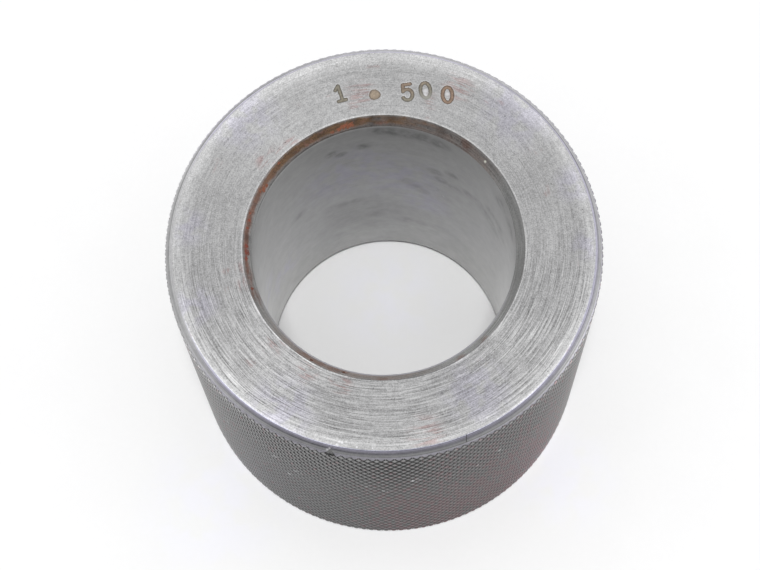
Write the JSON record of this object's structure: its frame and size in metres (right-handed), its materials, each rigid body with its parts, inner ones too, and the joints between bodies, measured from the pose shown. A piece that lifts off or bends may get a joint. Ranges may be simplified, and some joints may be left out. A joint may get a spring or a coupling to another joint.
{
  "type": "setting ring gauge",
  "caption": "Plain cylindrical setting ring gauge: a thick steel ring with a finished bore, flat end faces, chamfered rims and mouths, and a diamond knurl over the whole outside.",
  "frame": {"origin": "centre of the bore in the plane of the lower face, on which the ring stands", "axes": "+Z along the bore, towards the face that carries the size; -Y towards the side seen at the front of the picture, +X to its right"},
  "size_m": [0.063, 0.063, 0.0508],
  "materials": {
    "tool_steel": "turned and ground bare tool steel, dulled by use, with the knurled outside darker"
  },
  "bodies": {
    "root": {"gauge_ring": "tool_steel"}
  },
  "joints": []
}
